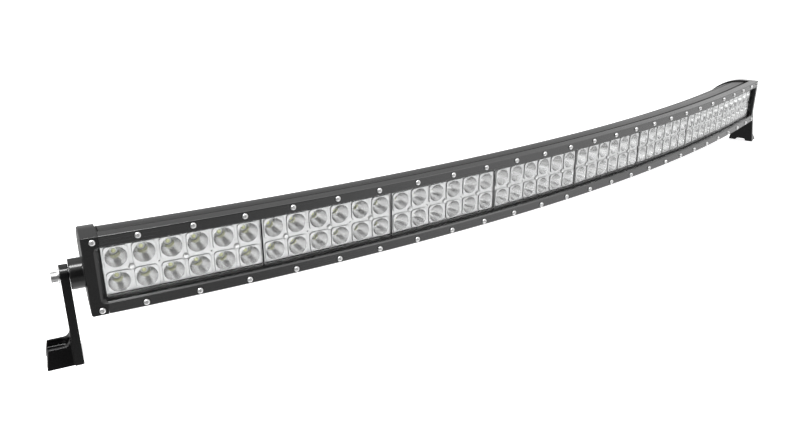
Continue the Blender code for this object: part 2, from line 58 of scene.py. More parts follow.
ARM_INNER = 12.9             # of a bracket's arm, from the end cap's outer face
ARM_THICKNESS = 8.0
PIVOTS = {joint["child"].split("_")[0]: joint for joint in frame["joints"]}
PIVOT = Vector(PIVOTS["right"]["pos_m"]) / MM
PIVOT_AXIS = Vector(PIVOTS["right"]["axis"])

# the bar as a whole, from the right pivot, which is stated halfway through the bracket's arm
END_ANGLE = math.atan2(PIVOT_AXIS.y, PIVOT_AXIS.x)
CAP_PIVOT = PIVOT - PIVOT_AXIS * (ARM_INNER + ARM_THICKNESS / 2)
PIVOT_REACH = CAP_PIVOT.x / math.sin(END_ANGLE)
FACE_RADIUS = PIVOT_REACH + PIVOT_DEPTH
BAR_ORIGIN = Vector((0, CAP_PIVOT.y - FACE_RADIUS + PIVOT_REACH * math.cos(END_ANGLE), PIVOT.z))
MOUNT_DROP = PIVOT.z
HALF_HEIGHT = 39.5
CAP_LENGTH = 15.4
CAP_ROUNDING = 1.8           # of a cap's outer edges
OPENING_ANGLE = END_ANGLE - CAP_LENGTH / FACE_RADIUS
ARC_STEPS = 96
SHARP = 34                   # degrees between faces from which an edge stays sharp
END_GASKET = 1.2             # thickness of the gaskets between the housing and the end caps
STRIP_ANGLE = OPENING_ANGLE - 1.2 * GAP / FACE_RADIUS      # of the rails, the lens and their gaskets

# light modules
MODULES = 8
COLUMNS = 6
COLUMN_PITCH = 25.6
ROW_HEIGHT = 12.75
MODULE_ANGLE = 2 * OPENING_ANGLE / MODULES
MODULE_GAP = 1.8
REFLECTOR_FRONT = 10.6
REFLECTOR_HALF_HEIGHT = 25.5
# the third finish is a near-black painted shade for the reflectors' gutters and skirts
REFLECTOR_FINISHES = ("plate", "cup", "painted_shade")
SKIRT_INSET = 0.1            # of a reflector's sides from the ends of its lip
LIP_HALF_HEIGHT = 26.9
LIP_BACK = 0.6               # behind the reflector's front, as the lip's front
LIP_FRONT = 0.12
GUTTER_DEPTH = 1.4           # of the gutter between a reflector's rim and its floor, whose black is painted shade
RIM_CORNER = 1.2
EMITTER_RADIUS = 2.1         # of the silicone dome on an LED
EMITTER_HEIGHT = 1.5
MODULE_SCREW_RADIUS = 2.3
BOARD_FRONT = 29.0
CHIP_FRONT = 28.0
MODULE_LENGTH = MODULE_ANGLE * (FACE_RADIUS - REFLECTOR_FRONT) - MODULE_GAP
CUP_SIDES = 48
CUP_MOUTH = 10.15
CUP_THROAT = 3.6
CUP_RIM = 0.3                # depth of a cup's rounded rim
CUP_STEPS = 8
PAD_HALF = 11.1
PAD_CORNER = 3.6
PAD_RISE = 1.1
PAD_GROOVE = 0.9             # depth of the groove at a pad's left and right
PAD_GROOVE_STRETCH = 1.045   # how much wider than the pad its groove is
SCREW_STATIONS = (-2, 0, 2)  # along a module's middle line, in column pitches
PIP_STATIONS = (-1, 1)

# end pieces
SIDE_SCREWS = {"top": (21.0, 31.3), "bottom": (21.0, -31.3), "rear": (75.5, 0.0)}    # depth, height
FRONT_SCREWS = {"top": 34.4, "bottom": -34.4}
FRONT_SCREW_INSET = 9.8
BOSS_RADIUS = 14.7
BOSS_LENGTH = 12.6
BOSS_FILLET = 1.6
BOSS_EDGE = 1.0
BOLT_RADIUS = 3.0
BOLT_HEAD_RADIUS = 5.0
BOLT_HEAD_LENGTH = 6.0
WASHER_RADIUS = 7.0
WASHER_THICKNESS = 1.0
BUTTON_RADIUS = 3.0          # of the button-head screws
BUTTON_HEIGHT = 2.15
ARM_TOP_RADIUS = 10.6
ARM_BOTTOM_HALF_WIDTH = 22.0
FOOT_HALF_WIDTH = 20.4
FOOT_TOP_HALF_WIDTH = 11.7
FOOT_REACH = 32.0
FOOT_LEAN = 3.0
FOOT_HEIGHT = 16.5
FOOT_FILLET = 7.0
PAST_FOOT = 50.0             # from the arm's inner face to well past the foot's end
TROUGH_RADIUS = 9.0
TROUGH_DEPTH = 7.0
SLOT_RADIUS = 5.0
SLOT_HALF_LENGTH = 3.0       # from the slot's middle to the centres of its ends
RELIEF_HEIGHT = 4.0
RELIEF_HALF_WIDTH = 7.0
CAST_VOXEL = 0.5             # of the even mesh that gives the casting its soft edges
CAST_SMOOTHING = 7

# cross-section of the housing and the end caps
CROWN = (24.0, -35.5)        # centre of the upper back arc
HOUSING_TOP = 37.0
HOUSING_REAR = 83.5
CAP_REAR = (86.5, 7.1)       # depth and height of a cap's upper rear corner
FIN_ANGLES = (73.0, 67.0, 61.0, 55.0, 49.0)
FIN_GROOVE_HALF_WIDTH = 1.9
FIN_GROOVE_DEPTH = 7.0
CHAMBER_FRONT = 34.4
CHAMBER_REAR = 68.0
CHAMBER_RADIUS = 62.0
GLAND_X = -190.0
VENT_X = 190.0

# rails, lens and the channel behind them
RAIL_REAR = 13.5
RAIL_LIP = 5.0               # thickness of a rail's lip in front of the lens
WINDOW_HALF_HEIGHT = 27.2    # of the opening between the rails
LENS_REAR = 8.3
LENS_HALF_HEIGHT = 31.0
LENS_GASKET_REAR = 11.0
CHANNEL_FRONT = 11.3
CHANNEL_FLOOR = 30.9
CHANNEL_HALF_HEIGHT = 26.2
RAIL_SCREWS = 24
RAIL_SCREW_STEP = 0.017347   # radians
RAIL_SCREW_HEIGHT = 34.6

# the studio
FLOOR_HALF = 30.0            # metres, as the backdrop's sizes
BACKDROP_RADIUS = 28.0
BACKDROP_HEIGHT = 40.0
CAMERA_PLACE = (-798.9, -582.6, 288.9)     # in the bar's frame, in millimetres
CAMERA_LENS = 32.918         # millimetres, on a sensor 36 mm wide
CAMERA_TILT = 20.491         # degrees below level
CAMERA_TURN = 39.472         # degrees to the right of straight ahead


# ---- outlines -----------------------------------------------------------------------------------

def at(angle, along, depth, height):
    """A point seen from the arc at an angle: along its tangent, behind the front face, and up."""
    reach = FACE_RADIUS - depth
    x = reach * math.sin(angle) + along * math.cos(angle)
    y = FACE_RADIUS - reach * math.cos(angle) + along * math.sin(angle)
    return Vector((x, y, height))


def arc(centre, radius, start, end, steps):
    """Points on a circle, at angles in degrees from the first axis."""
    turns = [math.radians(start + (end - start) * i / steps) for i in range(steps + 1)]
    return [(centre[0] + radius * math.cos(t), centre[1] + radius * math.sin(t)) for t in turns]


def circle(centre, radius, sides):
    return arc(centre, radius, 0, 360, sides)[:-1]


def rectangle(half_x, half_z):
    return [(-half_x, -half_z), (half_x, -half_z), (half_x, half_z), (-half_x, half_z)]


def mirrored(half):
    """A closed outline from its upper half, given from front to rear in (depth, height)."""
    return list(half) + [(depth, -height) for depth, height in reversed(half)]


def rounded(points, radii, steps=4):
    """A closed outline with its corners turned into arcs. radii is one radius, or one per corner."""
    made = []
    for i, point in enumerate(points):
        radius = radii if isinstance(radii, (int, float)) else radii[i]
        corner = Vector(point)
        before = Vector(points[i - 1]) - corner
        after = Vector(points[(i + 1) % len(points)]) - corner
        half = before.angle(after) / 2
        if radius <= 0 or half > math.radians(87):
            made.append(tuple(corner))
            continue
        reach = min(radius / math.tan(half), 0.46 * before.length, 0.46 * after.length)
        halfway = (before.normalized() + after.normalized()).normalized()
        middle = corner + halfway * reach / math.cos(half)
        start = corner + before.normalized() * reach - middle
        end = corner + after.normalized() * reach - middle
        first = math.atan2(start.y, start.x)
        turn = (math.atan2(end.y, end.x) - first + math.pi) % (2 * math.pi) - math.pi
        for k in range(steps + 1):
            t = first + turn * k / steps
            made.append((middle.x + start.length * math.cos(t), middle.y + start.length * math.sin(t)))
    return made


# ---- meshes -------------------------------------------------------------------------------------

def fill(work, loops):
    """Faces between loops of vertices, the first of them the outline and the others holes."""
    flat = [v for loop in loops for v in loop]
    return [work.faces.new([flat[k] for k in corners])
            for corners in tessellate_polygon([[v.co for v in loop] for loop in loops])]


def skin(work, rows):
    """Quads between rows of vertices that are loops of equal length."""
    made = []
    for here, there in zip(rows, rows[1:]):
        for i in range(len(here)):
            j = (i + 1) % len(here)
            made.append(work.faces.new((here[i], here[j], there[j], there[i])))
    return made


def loft(sections, ring=False, work=None):
    """A closed body through sections, each a list of loops of points, added to a bmesh."""
    work = work or bmesh.new()
    rows = [[[work.verts.new(p) for p in loop] for loop in section] for section in sections]
    for column in zip(*rows):
        skin(work, list(column) + ([column[0]] if ring else []))
    if not ring:
        fill(work, rows[0])
        fill(work, rows[-1])
    return work


def swept(loops, half_angle):
    """A cross-section in (depth, height), swept along the bar between two equal angles."""
    angles = [half_angle * (2 * i / ARC_STEPS - 1) for i in range(ARC_STEPS + 1)]
    return loft([[[at(t, 0, d, h) for d, h in loop] for loop in loops] for t in angles])


def turned(profile, place, sides=40, ring=False, work=None):
    """A turned body. Each profile row is a distance along the axis and a radius, and "hex" after them
    makes that ring a hexagon. place puts (along, across, up) in the bar's frame."""
    sections = []
    for along, radius, *hexagon in profile:
        loop = []
        for i in range(sides):
            t = 2 * math.pi * i / sides
            r = radius
            if hexagon:
                r = radius * math.cos(math.pi / 6) / math.cos(t % (math.pi / 3) - math.pi / 6)
            loop.append(place(along, r * math.cos(t), r * math.sin(t)))
        sections.append([loop])
    return loft(sections, ring, work)


def dome(base, tip, radius, end_radius, steps=5):
    """Profile rows of a quarter-ellipse from base to tip."""
    rows = []
    for i in range(steps + 1):
        t = math.pi / 2 * i / steps
        along = base + (tip - base) * math.sin(t)
        rows.append((along, end_radius + (radius - end_radius) * math.cos(t)))
    return rows


def shaded(mesh, sharp):
    mesh.shade_smooth()
    mesh.set_sharp_from_angle(angle=math.radians(sharp))


def made_object(name, work, finishes, sharp=SHARP, matrix=None):
    """An object from a bmesh in millimetres in the bar's frame."""
    if matrix is None:
        matrix = Matrix.Scale(MM, 4) @ Matrix.Translation(BAR_ORIGIN)
    bmesh.ops.transform(work, matrix=matrix, verts=work.verts)
    bmesh.ops.recalc_face_normals(work, faces=work.faces)
    mesh = bpy.data.meshes.new(name)
    work.to_mesh(mesh)
    work.free()
    for finish in finishes if isinstance(finishes, (list, tuple)) else [finishes]:
        mesh.materials.append(finish)
    shaded(mesh, sharp)
    made = bpy.data.objects.new(name, mesh)
    bpy.context.scene.collection.objects.link(made)
    return made


def placed(made, body, slot, *nodes):
    """Gives a piece its body and even normals, and hides the CAD nodes that it stands for. slot is not
    used.
    """
    even = made.modifiers.new("even_normals", "WEIGHTED_NORMAL")
    even.keep_sharp = True
    even.weight = 100
    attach(made, body)
    if nodes:
        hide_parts(*nodes)
    return made


def combine(target, other, operation):
    """Cuts other out of target, or joins it on, and removes other."""
    step = target.modifiers.new(other.name, "BOOLEAN")
    step.operation = operation
    step.solver = "EXACT"
    step.object = other
    settle(target)
    bpy.data.objects.remove(other)


def settle(target):
    """Turns a piece's modifiers into mesh."""
    bpy.context.view_layer.update()
    graph = bpy.context.evaluated_depsgraph_get()
    mesh = bpy.data.meshes.new_from_object(target.evaluated_get(graph))
    target.modifiers.clear()
    target.data = mesh
    shaded(mesh, SHARP)


# ---- materials ----------------------------------------------------------------------------------

class Finish:
    """A node material. What is the same all over is set on the shader itself."""

    def __init__(self, name, colour, roughness, **sockets):
        self.material = bpy.data.materials.new(name)
        self.material.use_nodes = True
        self.tree = self.material.node_tree
        self.shader = self.tree.nodes["Principled BSDF"]
        self.shader.inputs["Base Color"].default_value = (*colour, 1)
        self.shader.inputs["Roughness"].default_value = roughness
        for socket, value in sockets.items():
            self.shader.inputs[socket.replace("_", " ")].default_value = value

    def node(self, kind, inputs, **settings):
        made = self.tree.nodes.new("ShaderNode" + kind)
        for name, value in settings.items():
            setattr(made, name, value)
        for name, value in inputs.items():
            if isinstance(value, bpy.types.NodeSocket):
                self.tree.links.new(value, made.inputs[name])
            else:
                made.inputs[name].default_value = value
        return made

    def maths(self, operation, first, second):
        return self.node("Math", {0: first, 1: second}, operation=operation).outputs[0]

    def object_place(self):
        return self.node("TexCoord", {}).outputs["Object"]

    def arc_place(self):
        """Coordinates that follow the bar: along its arc, from its centre of curvature, and up."""
        x, y, z = self.node("SeparateXYZ", {0: self.object_place()}).outputs
        back = self.maths("SUBTRACT", (BAR_ORIGIN.y + FACE_RADIUS) * MM, y)
        along = self.maths("MULTIPLY", self.maths("ARCTAN2", x, back), FACE_RADIUS * MM)
        flat = self.node("CombineXYZ", {0: x, 1: back}).outputs[0]
        reach = self.node("VectorMath", {0: flat}, operation="LENGTH").outputs["Value"]
        return self.node("CombineXYZ", {0: along, 1: reach, 2: z}).outputs[0]

    def stretched(self, place, scale):
        return self.node("VectorMath", {0: place, 1: scale}, operation="MULTIPLY").outputs[0]

    def noise(self, place, scale, detail):
        return self.node("TexNoise", {"Vector": place, "Scale": scale, "Detail": detail}).outputs[0]

    def spread(self, value, low, high):
        """Noise, which is mostly from 0.3 to 0.7, spread out from low to high."""
        inputs = {"Value": value, "From Min": 0.3, "From Max": 0.7, "To Min": low, "To Max": high}
        return self.node("MapRange", inputs).outputs[0]

    def link(self, socket, output):
        self.tree.links.new(output, self.shader.inputs[socket])

    def tint(self, value, dark, light):
        """Colour from dark to light while the value goes from 0 to 1."""
        mix = self.node("Mix", {0: value}, data_type="RGBA")
        mix.inputs[6].default_value = (*dark, 1)
        mix.inputs[7].default_value = (*light, 1)
        self.link("Base Color", mix.outputs[2])

    def bump(self, height, distance, strength):
        inputs = {"Height": height, "Distance": distance, "Strength": strength}
        self.link("Normal", self.node("Bump", inputs).outputs[0])


DIE_LINES = (2.0, 1600.0, 1600.0)      # noise cells per metre: along the bar, across it and up
SHEEN_CLOUDS = (6.0, 40.0, 40.0)


def extruded_black(name, grey, roughness, specular):
    """Black anodised extrusion: fine die lines along the bar, and slow changes of sheen."""
    made = Finish(name, (grey, grey, grey * 1.05), roughness, Specular_IOR_Level=specular)
    place = made.arc_place()
    lines = made.noise(made.stretched(place, DIE_LINES), 1.0, 2.0)
    clouds = made.noise(made.stretched(place, SHEEN_CLOUDS), 1.0, 3.0)
    fine = made.spread(lines, -0.035, 0.035)
    slow = made.spread(clouds, roughness - 0.03, roughness + 0.03)
    made.link("Roughness", made.maths("ADD", fine, slow))
    made.tint(clouds, (grey * 0.85,) * 3, (grey * 1.15, grey * 1.15, grey * 1.2))
    made.bump(lines, 0.00002, 0.35)
    return made.material


def coated_black(name, grey, roughness, specular, grain, depth):
    """Black powder coat on a casting: a fine orange peel and slightly uneven sheen."""
    made = Finish(name, (grey, grey, grey * 1.05), roughness, Specular_IOR_Level=specular)
    place = made.object_place()
    peel = made.noise(place, grain, 2.0)
    clouds = made.noise(place, 60.0, 4.0)
    made.link("Roughness", made.spread(clouds, roughness - 0.05, roughness + 0.05))
    made.tint(clouds, (grey * 0.8,) * 3, (grey * 1.2, grey * 1.2, grey * 1.25))
    made.bump(peel, depth, 0.5)
    return made.material


def machined(name, grey, roughness):
    """Turned metal with fine tool marks and slightly uneven sheen."""
    made = Finish(name, (grey,) * 3, roughness, Metallic=1.0)
    place = made.object_place()
    marks = made.noise(place, 5200.0, 2.0)
    clouds = made.noise(place, 700.0, 3.0)
    made.link("Roughness", made.spread(clouds, roughness - 0.06, roughness + 0.08))
    made.tint(clouds, (grey * 0.92,) * 3, (grey * 1.04,) * 3)
    made.bump(marks, 0.00001, 0.4)
    return made.material


def plated(name, grey, roughness, variation, metallic=1.0):
    """Vacuum-metallised plastic: bright, with a faint orange peel."""
    made = Finish(name, (grey,) * 3, roughness, Metallic=metallic)
    place = made.object_place()
    peel = made.noise(place, 900.0, 2.0)
    clouds = made.noise(place, 220.0, 3.0)
    made.link("Roughness", made.spread(clouds, roughness - variation, roughness + variation))
    made.bump(peel, 0.00002, 0.25)
    return made.material


def clear_lens(name):
    """Clear polycarbonate whose coat keeps reflections low, with a little haze."""
    made = Finish(name, (0.985, 0.99, 0.99), 0.02, Transmission_Weight=1.0, IOR=1.12)
    haze = made.noise(made.stretched(made.arc_place(), (30.0, 30.0, 60.0)), 1.0, 3.0)
    made.link("Roughness", made.spread(haze, 0.01, 0.035))
    return made.material


def moulded(name, colour, roughness, grain, depth):
    """Moulded plastic or rubber with a fine etched grain; also the near-black painted shade in the
    reflectors.
    """
    made = Finish(name, colour, roughness)
    place = made.object_place()
    texture = made.noise(place, grain, 3.0)
    made.link("Roughness", made.spread(texture, roughness - 0.07, roughness + 0.07))
    darker = tuple(c * 0.85 for c in colour)
    lighter = tuple(c * 1.15 for c in colour)
    made.tint(made.noise(place, 90.0, 3.0), darker, lighter)
    made.bump(texture, depth, 0.5)
    return made.material


def printed_board(name, mask, copper, pitch):
    """Solder mask over faintly raised copper tracks."""
    made = Finish(name, mask, 0.35, Coat_Weight=0.3)
    place = made.object_place()
    inputs = {"Vector": place, "Scale": pitch, "Mortar Size": 0.03, "Mortar Smooth": 0.4}
    tracks = made.node("TexBrick", inputs).outputs["Fac"]
    made.tint(tracks, mask, copper)
    made.bump(tracks, 0.00004, 0.6)
    return made.material


def phosphor(name):
    """The yellow-green silicone over an LED's die."""
    made = Finish(name, (0.78, 0.8, 0.46), 0.25, Coat_Weight=0.6, Coat_Roughness=0.08)
    grain = made.noise(made.object_place(), 4000.0, 2.0)
    made.tint(grain, (0.72, 0.74, 0.38), (0.86, 0.88, 0.56))
    made.bump(grain, 0.00002, 0.3)
    return made.material


FINISHES = {
    "housing": extruded_black("anodised_housing", 0.006, 0.3, 0.5),
    "rail": extruded_black("anodised_rail", 0.006, 0.24, 1.0),
    "cap": coated_black("cast_cap", 0.004, 0.2, 0.5, 2600.0, 0.000004),
    "bracket": coated_black("cast_bracket", 0.003, 0.17, 0.4, 1800.0, 0.000004),
    "lens": clear_lens("clear_lens"),
    "plate": plated("reflector_plate", 0.41, 0.34, 0.05),
    "cup": plated("reflector_cup", 0.76, 0.17, 0.03, 0.78),
    # painted shade: near-black put on the reflectors' gutters and skirts, where shade falls
    "painted_shade": moulded("shade_black_paint", (0.01, 0.01, 0.01), 0.7, 2400.0, 0.00002),
    "board": printed_board("white_board", (0.82, 0.83, 0.81), (0.72, 0.74, 0.72), 120.0),
    "driver": printed_board("green_board", (0.015, 0.13, 0.045), (0.03, 0.22, 0.08), 260.0),
    "phosphor": phosphor("led_phosphor"),
    "steel": machined("stainless", 0.82, 0.3),
    "bolt": machined("zinc_plated", 0.5, 0.42),
    "module_screw": machined("nickel_plated", 0.7, 0.42),
    "black_screw": machined("black_oxide", 0.05, 0.35),
    "rubber": moulded("black_rubber", (0.012, 0.012, 0.012), 0.75, 2400.0, 0.00004),
    "nylon": moulded("black_nylon", (0.02, 0.02, 0.022), 0.45, 3000.0, 0.00003),
}


# ---- long pieces --------------------------------------------------------------------------------

def button_head(edge):
    """Profile rows of a button head with a hex socket, forwards from its edge."""
    return [*dome(edge, -BUTTON_HEIGHT, BUTTON_RADIUS, 1.25), (-2.12, 1.1, "hex"), (-1.3, 1.0, "hex"),
            (-1.2, 0.4)]


def housing_half():
    """Upper half of the housing's outline, as rows of depth, height and the corner's radius."""
    radius = HOUSING_TOP - CROWN[1]
    rail_seat = RAIL_REAR + GAP
    rows = [
        (CHANNEL_FLOOR, CHANNEL_HALF_HEIGHT, 0.3), (CHANNEL_FRONT, CHANNEL_HALF_HEIGHT, 0.3),
        (CHANNEL_FRONT, 31.2, 0.3), (rail_seat, 31.2, 0.2), (rail_seat, 35.5, 0.2),
        (21.2, 35.5, 0.2), (21.2, HOUSING_TOP, 0.3), (CROWN[0], HOUSING_TOP, 0),
    ]
    rows += [(*p, 0) for p in arc(CROWN, radius, 87, 78, 3)]
    for middle in FIN_ANGLES:
        way = Vector((math.cos(math.radians(middle)), math.sin(math.radians(middle))))
        side = Vector((way.y, -way.x)) * FIN_GROOVE_HALF_WIDTH
        for sunk, edge, corner in ((0, -1, 0.9), (1, -1, 1.7), (1, 1, 1.7), (0, 1, 0.9)):
            rise = math.sqrt(radius**2 - FIN_GROOVE_HALF_WIDTH**2) - sunk * FIN_GROOVE_DEPTH
            rows.append((*(Vector(CROWN) + way * rise + side * edge), corner))
    rows.append((*arc(CROWN, radius, 46, 46, 1)[0], 1.5))
    rows.append((HOUSING_REAR, 8.5, 2.0))
    return rows


def make_housing():
    """The extrusion: an open channel in front, a closed chamber behind it and cooling grooves."""
    rows = housing_half()
    outline = mirrored([row[:2] for row in rows])
    corners = [row[2] for row in rows] + [row[2] for row in reversed(rows)]
    crown = arc(CROWN, CHAMBER_RADIUS, 76, 52, 6)
    chamber = mirrored([(CHAMBER_FRONT, 25.5), *crown, (CHAMBER_REAR, 8.0)])
    half_angle = END_ANGLE - (CAP_LENGTH + END_GASKET + 2.4 * GAP) / (FACE_RADIUS - HOUSING_REAR)
    work = swept([rounded(outline, corners, 3), rounded(chamber, 1.0, 3)], half_angle)
    placed(made_object("finned_housing", work, FINISHES["housing"]), "bar", "housing", "housing")


def make_rails():
    """The bezel rails over and under the lens, each with a row of button-head screws."""
    screw = [(0.15, 2.9), (-0.3, BUTTON_RADIUS), *button_head(-0.45)]
    for name, side in (("top_rail", 1), ("bottom_rail", -1)):
        rows = [
            (0.0, HALF_HEIGHT, 1.3), (RAIL_REAR, HALF_HEIGHT, 0.5), (RAIL_REAR, 31.5, 0.3),
            (RAIL_LIP, 31.5, 0.3), (RAIL_LIP, WINDOW_HALF_HEIGHT, 0.4), (1.6, WINDOW_HALF_HEIGHT, 0.5),
            (0.0, WINDOW_HALF_HEIGHT + 1.6, 0.5),
        ]
        outline = rounded([(d, h * side) for d, h, r in rows], [r for d, h, r in rows])
        rail = made_object(f"bezel_{name}", swept([outline], STRIP_ANGLE), FINISHES["rail"])
        placed(rail, "bar", "rail", name)
        height = RAIL_SCREW_HEIGHT * side
        screws = bmesh.new()
        for i in range(RAIL_SCREWS):
            angle = (i - (RAIL_SCREWS - 1) / 2) * RAIL_SCREW_STEP
            turned(screw, lambda a, u, v: at(angle, u, a, v + height), 24, work=screws)
        placed(made_object(f"{name}_screws", screws, FINISHES["steel"]), "bar", "stainless")


def make_lens():
    """The clear strip, which casts no shadow on the reflectors, and the gaskets behind its edges."""
    edges = [(RAIL_LIP + GAP, LENS_HALF_HEIGHT), (LENS_REAR, LENS_HALF_HEIGHT)]
    outline = rounded(mirrored(edges), 0.4, 3)
    lens = made_object("clear_lens_strip", swept([outline], STRIP_ANGLE), FINISHES["lens"])
    lens.visible_shadow = False
    lens.visible_diffuse = False
    placed(lens, "bar", "lens", "lens")
    front, rear = LENS_REAR + GAP, LENS_GASKET_REAR
    for name, side in (("top_lens_gasket", 1), ("bottom_lens_gasket", -1)):
        outer, inner = LENS_HALF_HEIGHT * side, 27.0 * side
        corners = [(front, outer), (rear, outer), (rear, inner), (front, inner)]
        work = swept([rounded(corners, 0.9, 3)], STRIP_ANGLE)
        placed(made_object(f"{name}_bead", work, FINISHES["rubber"]), "bar", "rubber", name)


# ---- light modules ------------------------------------------------------------------------------

def led_places():
    """The middles of a module's cups in (x, z), from left to right."""
    columns = [(i - (COLUMNS - 1) / 2) * COLUMN_PITCH for i in range(COLUMNS)]
    return [(x, z) for x in columns for z in (-ROW_HEIGHT, ROW_HEIGHT)]


def pad_point(turn, half, corner):
    """Where a ray from the middle of a rounded square crosses its edge."""
    c, s = abs(math.cos(turn)), abs(math.sin(turn))
    reach = half / max(c, s)
    inner = half - corner
    if reach * min(c, s) > inner:
        lean = inner * (c + s)
        reach = lean + math.sqrt(lean**2 - 2 * inner**2 + corner**2)
    return reach * math.cos(turn), reach * math.sin(turn)


def ring_of(work, points, level, x=0.0, z=0.0):
    return [work.verts.new((x + u, level, z + v)) for u, v in points]


def pad_rings(work, x, z, turns):
    """Rings of a raised pad, from the floor through the groove at its left and right to its face."""
    bottom = PAD_RISE + PAD_GROOVE
    wide = PAD_GROOVE_STRETCH
    profile = ((wide, 0.0, PAD_RISE), (wide, 0.01, bottom), (1, 0.05, bottom), (1, 0.06, 0.2),
               (1, 0.12, 0.06), (1, 0.3, 0.0))
    rings = []
    for stretch, inset, level in profile:
        points = [pad_point(t, PAD_HALF - inset, PAD_CORNER - inset) for t in turns]
        ring = ring_of(work, [(u * stretch, v) for u, v in points], level, x, z)
        if level == bottom:
            for vert in ring:
                if abs(vert.co.z - z) > abs(vert.co.x - x):
                    vert.co.y = PAD_RISE
        rings.append(ring)
    return rings


def cup_rings(work, x, z, turns, back):
    """Rings of a parabolic cup, from its rounded rim to its throat."""
    profile = [(CUP_MOUTH + 0.28, 0.0), (CUP_MOUTH + 0.08, 0.08)]
    for i in range(CUP_STEPS + 1):
        radius = CUP_MOUTH + (CUP_THROAT - CUP_MOUTH) * i / CUP_STEPS
        sunk = (CUP_MOUTH**2 - radius**2) / (CUP_MOUTH**2 - CUP_THROAT**2)
        profile.append((radius, CUP_RIM + (back - CUP_RIM) * sunk))
    rings = []
    for radius, level in profile:
        points = [(radius * math.cos(t), radius * math.sin(t)) for t in turns]
        rings.append(ring_of(work, points, level, x, z))
    return rings


def stud(work, station, profile, sides):
    """A stud on the plate's middle line, from rows of radius and level. Gives its ring on the floor."""
    x = station * COLUMN_PITCH
    rings = [ring_of(work, circle((0, 0), radius, sides), level, x) for radius, level in profile]
    skin(work, rings)
    fill(work, [rings[-1]])
    return rings[0]


def reflector_frame(work, back):
    """The skirt, lip and rim round a reflector, as rings from its rear to its floor. The skirt's rear
    part and the gutter get a near-black painted shade.
    """
    skirt = MODULE_LENGTH / 2 - SKIRT_INSET, REFLECTOR_HALF_HEIGHT
    lip = MODULE_LENGTH / 2, LIP_HALF_HEIGHT
    gutter = PAD_RISE + GUTTER_DEPTH
    profile = [
        (skirt, 0.0, 0.0, back), (skirt, 0.0, 0.0, LIP_BACK), (lip, 0.0, 0.0, LIP_BACK),
        (lip, 0.0, 0.0, LIP_FRONT), (skirt, 0.05, 0.0, LIP_FRONT), (skirt, 0.12, 0.12, 0.0),
        (skirt, 0.24, 0.62, 0.0), (skirt, 0.26, 0.72, LIP_FRONT), (skirt, 0.28, 0.75, gutter),
        (skirt, 0.32, 1.22, gutter), (skirt, 0.34, 1.24, PAD_RISE),
    ]
    rings = []
    for (half_x, half_z), inset_x, inset_z, level in profile:
        loop = rounded(rectangle(half_x - inset_x, half_z - inset_z), RIM_CORNER, 4)
        rings.append(ring_of(work, loop, level))
    skin(work, rings[1:-3])
    # painted shade: the skirt's rear part between the modules and the gutter round the floor are
    # near-black for their shade
    for face in skin(work, rings[:2]) + skin(work, rings[-4:]):
        face.material_index = REFLECTOR_FINISHES.index("painted_shade")
    return rings


def reflector_mesh():
    """The moulded reflector of one module, around the middle of its front: x along, y back, z up."""
    work = bmesh.new()
    back = BOARD_FRONT - GAP - REFLECTOR_FRONT
    turns = [2 * math.pi * (i + 0.5) / CUP_SIDES for i in range(CUP_SIDES)]
    frame_rings = reflector_frame(work, back)
    floor, rear = [frame_rings[-1]], [frame_rings[0]]
    for x, z in led_places():
        pad = pad_rings(work, x, z, turns)
        cup = cup_rings(work, x, z, turns, back)
        skin(work, pad + cup[:2])
        for face in skin(work, cup[1:]):
            face.material_index = REFLECTOR_FINISHES.index("cup")
        floor.append(pad[0])
        rear.append(cup[-1])
    seat = ((3.3, PAD_RISE), (3.2, 0.25), (3.05, 0.08), (2.8, 0.08), (2.65, 0.25), (2.6, 0.8))
    pip = ((1.1, PAD_RISE), (1.0, 0.5), (0.7, 0.25), (0.3, 0.18))
    floor += [stud(work, station, seat, 24) for station in SCREW_STATIONS]
    floor += [stud(work, station, pip, 12) for station in PIP_STATIONS]
    fill(work, floor)
    fill(work, rear)
    return work


def module_turn(number):
    """A module's angle on the arc, in radians from the bar's middle."""
    return (number - (MODULES + 1) / 2) * MODULE_ANGLE


def module_place(number, x, depth, z):
    """A point of one flat module in the bar's frame: its x is along, and depth starts at its front."""
    angle = module_turn(number)
    behind = Vector((-math.sin(angle) * depth, math.cos(angle) * depth, z))
    return at(angle, x, REFLECTOR_FRONT, 0) + behind


def make_modules():
    """The reflectors, which share one mesh, with their screws and the silicone domes of their LEDs."""
    finishes = [FINISHES[finish] for finish in REFLECTOR_FINISHES]
    first = made_object("reflector_module_1", reflector_mesh(), finishes, 40, Matrix.Scale(MM, 4))
    screws = bmesh.new()
    emitters = bmesh.new()
    radius = MODULE_SCREW_RADIUS
    screw = [(0.9, radius - 0.1), (0.2, radius), *dome(0.0, -0.75, radius, radius / 2, 4),
             (-0.7, 1.0, "hex"), (0.1, 0.9, "hex")]
    emitter = [(0.0, EMITTER_RADIUS), *dome(-0.1, -EMITTER_HEIGHT, EMITTER_RADIUS, 0.2, 5)]
    chip = CHIP_FRONT - REFLECTOR_FRONT
    for number in range(1, MODULES + 1):
        module = first
        if number > 1:
            module = bpy.data.objects.new(f"reflector_module_{number}", first.data)
            bpy.context.scene.collection.objects.link(module)
        module.location = (module_place(number, 0, 0, 0) + BAR_ORIGIN) * MM
        module.rotation_euler.z = module_turn(number)
        placed(module, "bar", "reflector", f"reflector_{number}")
        for station in SCREW_STATIONS:
            x = station * COLUMN_PITCH
            turned(screw, lambda a, u, v: module_place(number, x + u, a, v), 24, work=screws)
        for x, z in led_places():
            turned(emitter, lambda a, u, v: module_place(number, x + u, chip + a, z + v), 20,
                   work=emitters)
    placed(made_object("module_screws", screws, FINISHES["module_screw"]), "bar", "stainless")
    placed(made_object("led_emitters", emitters, FINISHES["phosphor"]), "bar", "led_board")


# ---- the two ends -------------------------------------------------------------------------------

